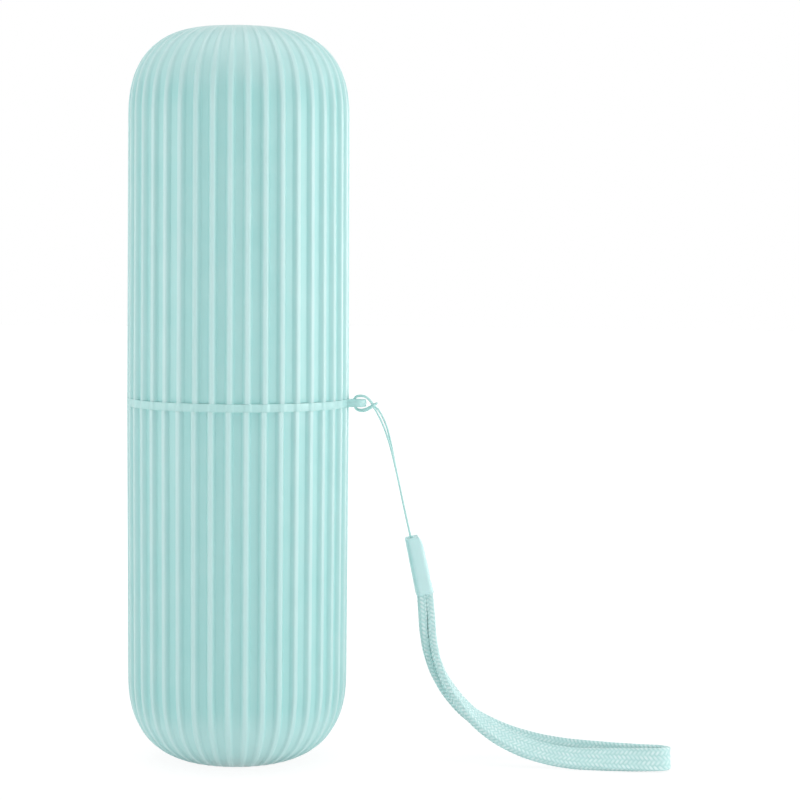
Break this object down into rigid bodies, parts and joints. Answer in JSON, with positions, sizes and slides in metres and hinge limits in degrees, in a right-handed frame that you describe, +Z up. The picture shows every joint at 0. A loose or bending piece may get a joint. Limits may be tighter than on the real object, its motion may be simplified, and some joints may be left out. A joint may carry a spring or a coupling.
{
  "type": "travel toothbrush cup",
  "caption": "Fluted round-ended travel case for a toothbrush: a cup and its cover plug onto a joining ring whose ear carries a wrist strap.",
  "frame": {"origin": "centre of the cup's flat foot, on the surface it stands on", "axes": "+Z up along the case's axis, +X towards the side that the strap hangs on, with the ear 9 degrees from it"},
  "size_m": [0.1497, 0.0616, 0.2032],
  "materials": {
    "shell": "satin moulded polypropylene",
    "ring": "satin moulded polypropylene",
    "string": "twisted polyester cord",
    "sleeve": "soft moulded plastic",
    "webbing": "flat braided polyester"
  },
  "bodies": {
    "cup": {"lower_cup": "shell"},
    "ring": {"joining_ring": "ring"},
    "strap": {"strap_string": "string", "strap_sleeve": "sleeve", "wrist_webbing": "webbing"},
    "cover": {"upper_cover": "shell"}
  },
  "joints": [
    {"name": "ring_lift", "type": "slide", "parent": "cup", "child": "ring", "axis": [0, 0, 1], "range_m": [0, 0.03]},
    {"name": "cover_lift", "type": "slide", "parent": "ring", "child": "cover", "axis": [0, 0, 1], "range_m": [0, 0.1]},
    {"name": "strap_swing", "type": "hinge", "parent": "ring", "child": "strap", "pos_m": [0.03235, -0.00512, 0.1003], "axis": [0, 0, 1], "range_deg": [-60, 60]}
  ]
}
